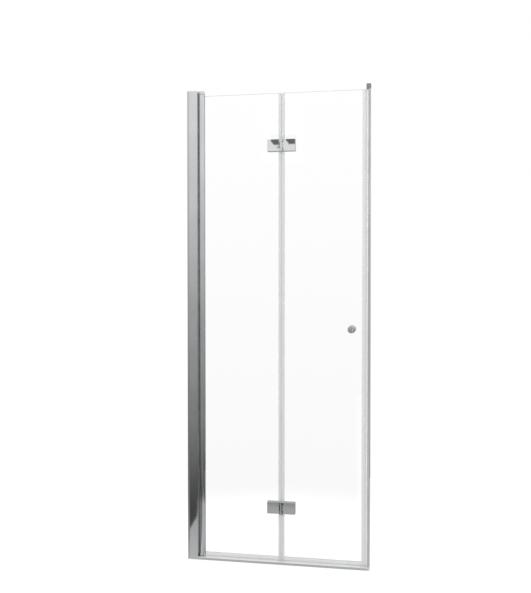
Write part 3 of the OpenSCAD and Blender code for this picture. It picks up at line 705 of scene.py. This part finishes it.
bracketHeights = [(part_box(b)[0][2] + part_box(b)[1][2]) / 2 / mm for b in ("bottom_bracket", "top_bracket")]
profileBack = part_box("adjusting_profile")[1][1] / mm
fastenerRow("clamp_screws", panScrew(fasteners["clampLength"]),
            placesAlong("clamp_screws", fasteners["clampHeights"], profileBack))
fastenerRow("clamp_caps", snapCap(), placesAlong("clamp_caps", fasteners["clampHeights"], profileBack))
fastenerRow("bracket_screws", panScrew(fasteners["bracketLength"]),
            placesAlong("bracket_screws", bracketHeights, profileBack))
screwHeights = [z + k * fasteners["hingePitch"] / 2 for z in stations["hingeHeights"] for k in (-1, 1)]
for leaf in ("left", "right"):
    node = "hinge_screws_" + leaf
    fastenerRow(node, flatScrew(), placesAlong(node, screwHeights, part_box(node)[1][1] / mm))
print("fasteners set")


# The knobs are turned from bar: a neck, a broad head with a round rim and a faintly crowned face
knob = {
    "neck": 10.0, "neckLength": 5.0, "head": 16.0, "length": 24.0, "rim": 2.0, "crown": 0.35,
    "bore": 3.02, "boreDepth": 14.0, "edge": 0.3,
    "sides": 96, "rimSteps": 6, "crownSteps": 6,
}


def knobOutline(side):
    k, edge, step = knob, knob["edge"], knob["neckLength"]
    flat = k["head"] - k["rim"]
    angles = (math.radians(90 / k["rimSteps"] * i) for i in range(k["rimSteps"] + 1))
    rim = [(flat + k["rim"] * math.cos(a), k["length"] - k["crown"] - k["rim"] + k["rim"] * math.sin(a))
           for a in angles]
    shares = (1 - i / k["crownSteps"] for i in range(1, k["crownSteps"] + 1))
    face = [(flat * share, k["length"] - k["crown"] * share ** 2) for share in shares]
    outline = [(0, k["boreDepth"]), (k["bore"], k["boreDepth"]), (k["bore"], edge), (k["bore"] + edge, 0),
               (k["neck"] - edge, 0), (k["neck"], edge), (k["neck"], step - 0.8),
               (k["neck"] + 0.25, step - 0.25), (k["neck"] + 0.8, step), (k["head"] - 1.2, step),
               (k["head"] - 0.3, step + 0.35), (k["head"], step + 1.2)] + rim + face
    return [(r, side * y) for r, y in outline]


for side, node in ((-1, "outer_knob"), (1, "inner_knob")):
    low, high = (Vector(v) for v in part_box(node))
    seat = high.y if side < 0 else low.y
    mesh = turned(node + "Turned", knobOutline(side), knob["sides"])
    mesh.transform(Matrix.Translation(((low.x + high.x) / 2, seat, (low.z + high.z) / 2)))
    paint(mesh, finishOf["chrome_fitting"])
    newPiece(node + "Turned", mesh, node)
print("knobs turned")


# The stage, in metres
studio = {
    "floorReach": 9.0,
    "floorSides": 64,
    "floorGlow": 0.52,        # share of plain white in the floor near the door
    "fadeFrom": 0.6,          # the shadow's outer part fades to plain white between these distances
    "fadeTo": 1.3,
    "ambient": 1.0,
}


def stageSheet(name, corners, material):
    mesh = bpy.data.meshes.new(name)
    mesh.from_pydata(corners, [], [list(range(len(corners)))])
    mesh.materials.append(material)
    made = bpy.data.objects.new(name, mesh)
    bpy.context.scene.collection.objects.link(made)
    return made


def onlyMirrored(item):
    for ray in ("camera", "diffuse", "transmission", "shadow", "volume_scatter"):
        setattr(item, "visible_" + ray, False)


def paleFloor():
    # Matte white sheet that keeps a soft shadow near the door and fades to plain white around it
    made, tree = newMaterial("paleFloor")
    place = addNode(tree, "ShaderNodeTexCoord").outputs["Object"]
    away = addNode(tree, "ShaderNodeVectorMath", {"operation": "LENGTH"}, {0: place}).outputs["Value"]
    fade = addNode(tree, "ShaderNodeMapRange",
                   {"interpolation_type": "SMOOTHSTEP", "From Min": studio["fadeFrom"],
                    "From Max": studio["fadeTo"]}, {"Value": away}).outputs["Result"]
    sheet = addNode(tree, "ShaderNodeBsdfDiffuse", {"Color": [1 - studio["floorGlow"]] * 3 + [1]})
    glow = addNode(tree, "ShaderNodeEmission", {"Color": (1, 1, 1, 1), "Strength": studio["floorGlow"]})
    near = addNode(tree, "ShaderNodeAddShader", None, {0: sheet.outputs[0], 1: glow.outputs[0]})
    far = addNode(tree, "ShaderNodeEmission", {"Color": (1, 1, 1, 1), "Strength": 1.0})
    seen = addNode(tree, "ShaderNodeMixShader", None, {0: fade, 1: near.outputs[0], 2: far.outputs[0]})
    lit = addNode(tree, "ShaderNodeBsdfDiffuse", {"Color": linearHex("F4F4F4")})
    path = addNode(tree, "ShaderNodeLightPath")
    whole = addNode(tree, "ShaderNodeMixShader", None,
                    {0: path.outputs["Is Camera Ray"], 1: lit.outputs[0], 2: seen.outputs[0]})
    addNode(tree, "ShaderNodeOutputMaterial", None, {"Surface": whole.outputs[0]})
    return made


def glowPaint(name, level):
    made, tree = newMaterial(name)
    glow = addNode(tree, "ShaderNodeEmission", {"Color": (level, level, level, 1), "Strength": 1.0})
    addNode(tree, "ShaderNodeOutputMaterial", None, {"Surface": glow.outputs[0]})
    return made


def glowRamp(name, axis, low, high, stops):
    # Emission that changes along one axis, from low to high in metres
    made, tree = newMaterial(name)
    place = addNode(tree, "ShaderNodeTexCoord")
    along = addNode(tree, "ShaderNodeSeparateXYZ", None, {0: place.outputs["Object"]}).outputs[axis]
    share = addNode(tree, "ShaderNodeMapRange", {"From Min": low, "From Max": high}, {"Value": along})
    ramp = addNode(tree, "ShaderNodeValToRGB", None, {0: share.outputs[0]})
    for index, (at, level) in enumerate(stops):
        at = (at - low) / (high - low)
        stop = ramp.color_ramp.elements[index] if index < 2 else ramp.color_ramp.elements.new(at)
        stop.position = at
        stop.color = (level, level, level, 1)
    glow = addNode(tree, "ShaderNodeEmission", {"Strength": 1.0}, {"Color": ramp.outputs[0]})
    addNode(tree, "ShaderNodeOutputMaterial", None, {"Surface": glow.outputs[0]})
    return made


def circleAt(radius, z, sides):
    angles = (math.tau * i / sides for i in range(sides))
    return [(radius * math.cos(a), radius * math.sin(a), z) for a in angles]


floor = stageSheet("floor", circleAt(studio["floorReach"], 0, studio["floorSides"]), paleFloor())
floor.visible_glossy = False

# Painted reflection of the floor: a glowing sheet that only the metal mirrors, bright at the door, greyer
# towards its front edge
mirrored = {
    "outline": [(-0.582, -0.915), (0.50, -0.915), (0.50, 1.5), (-0.454, 1.5), (-0.454, 0),
                (-0.492, -0.417), (-0.510, -0.614)],
    "level": -0.001,
    "from": -1.0,             # the glow changes along Y between these
    "to": 0.0,
    "glow": [(-1.0, 0.33), (0.0, 0.64), (-0.88, 0.36), (-0.83, 0.44), (-0.76, 0.485), (-0.45, 0.53)],
}
mirroredFloor = stageSheet(
    "mirroredFloor", [(x, y, mirrored["level"]) for x, y in mirrored["outline"]],
    glowRamp("mirroredFloorPaint", 1, mirrored["from"], mirrored["to"], mirrored["glow"]))
onlyMirrored(mirroredFloor)


def standing(y, *outline):  # an upright card's corners from its X and Z
    return [(x, y, z) for x, z in outline]


def standingBox(y, x0, x1, z0, z1):
    return standing(y, (x0, z0), (x1, z0), (x1, z1), (x0, z1))


def lying(z, *outline):  # a level card's corners from its X and Y
    return [(x, y, z) for x, y in outline]


# Painted reflections: cards that only the metal mirrors, in front of the door and under it, which paint dark
# and bright patches on the hinge plates, knob, threshold and strike; corners in metres, and their glow
backRow, frontRow = -4.88, -4.86
cards = {
    "plateGlow": (standingBox(backRow, -1.0, -0.55, 2.40, 3.0), 0.97),
    # Painted dark reflections on the upper hinge plates
    "plateFlagLeft": (standing(frontRow, (-0.849, 2.595), (-0.800, 2.595), (-0.800, 2.70), (-0.896, 2.70),
                               (-0.886, 2.638), (-0.871, 2.616)), 0.16),
    "plateFlagRight": (standing(frontRow, (-0.701, 2.600), (-0.62, 2.600), (-0.62, 2.70), (-0.745, 2.70),
                                (-0.726, 2.638), (-0.701, 2.616)), 0.16),
    # A painted dark spot in the reflection on an upper hinge plate
    "plateSpot": (standingBox(frontRow, -0.819, -0.801, 2.558, 2.578), 0.25),
    "strikeGlow": (standingBox(backRow, 0.07, 0.20, -0.3, 6.9), 0.62),
    # Painted shade in the reflection on the knob's face
    "knobShade": (standingBox(backRow, -0.12, 0.04, 0.5, 0.85), 0.36),
    # Painted shade: a dark sheet under the threshold's front, mirrored there as the shadow where it meets the
    # floor
    "thresholdShade": (lying(-0.0004, (-0.345, -0.065), (0.3785, -0.065), (0.3785, -0.02),
                             (-0.345, -0.02)), 0.22),
    "strikeFloorGlow": (lying(-0.0005, (0.0, -4.9), (0.25, -4.9), (0.50, 0.0), (0.34, 0.0)), 0.62),
}
for label, (corners, level) in cards.items():
    onlyMirrored(stageSheet(label, corners, glowPaint(label + "Paint", level)))

world = bpy.data.worlds.new("paleStudio")
bpy.context.scene.world = world
world.use_nodes = True
sky = world.node_tree
sky.nodes.clear()
path = addNode(sky, "ShaderNodeLightPath")
straight = addNode(sky, "ShaderNodeMath", {"operation": "MAXIMUM"},
                   {0: path.outputs["Is Camera Ray"], 1: path.outputs["Is Glossy Ray"]})
seen = addNode(sky, "ShaderNodeMath", {"operation": "MAXIMUM"},
               {0: straight.outputs[0], 1: path.outputs["Is Transmission Ray"]})
strength = addNode(sky, "ShaderNodeMapRange", {"To Min": studio["ambient"], "To Max": 1.0},
                   {"Value": seen.outputs[0]})
background = addNode(sky, "ShaderNodeBackground", {"Color": (1, 1, 1, 1)},
                     {"Strength": strength.outputs[0]})
addNode(sky, "ShaderNodeOutputWorld", None, {"Surface": background.outputs[0]})

# The studio's surround as the metal sees it: pale overhead, falling off to dusk below knee height
surroundSetup = {
    "radius": 5.0, "foot": -5.0, "top": 7.0, "sides": 96,
    "from": -2.0,             # the glow changes along Z between these
    "to": 4.0,
    "glow": [(-2.0, 0.10), (-1.55, 0.07), (-1.17, 0.07), (-0.64, 0.19), (-0.11, 0.30), (0.43, 0.39),
             (0.96, 0.475), (1.49, 0.61), (2.02, 0.74), (2.55, 0.84), (3.18, 0.95), (4.0, 0.97)],
}
ring = bmesh.new()
rows = [[ring.verts.new(corner) for corner in circleAt(surroundSetup["radius"], z, surroundSetup["sides"])]
        for z in (surroundSetup["foot"], surroundSetup["top"])]
for i in range(surroundSetup["sides"]):
    j = (i + 1) % surroundSetup["sides"]
    ring.faces.new((rows[0][i], rows[0][j], rows[1][j], rows[1][i]))
ring.faces.new(rows[0])
surroundMesh = bpy.data.meshes.new("surround")
ring.to_mesh(surroundMesh)
ring.free()
surroundMesh.materials.append(glowRamp("surroundPaint", 2, surroundSetup["from"], surroundSetup["to"],
                                       surroundSetup["glow"]))
surround = bpy.data.objects.new("surround", surroundMesh)
bpy.context.scene.collection.objects.link(surround)
onlyMirrored(surround)


lampAim = (0, 0, 1)
lamps = {
    "keyLamp": {"place": (-2.2, -3.0, 3.4), "size": 2.0, "power": 60},
    "fillLamp": {"place": (2.6, -2.4, 2.6), "size": 2.5, "power": 30},
    "backLamp": {"place": (0.4, 3.2, 3.4), "size": 2.0, "power": 40},
}
for name, setup in lamps.items():
    light = bpy.data.lights.new(name, "AREA")
    light.shape = "SQUARE"
    light.size = setup["size"]
    light.energy = setup["power"]
    lamp = bpy.data.objects.new(name, light)
    bpy.context.scene.collection.objects.link(lamp)
    lamp.location = setup["place"]
    aim = Vector(lampAim) - lamp.location
    lamp.rotation_euler = aim.to_track_quat("-Z", "Y").to_euler()
    lamp.visible_glossy = False
print("studio lit")
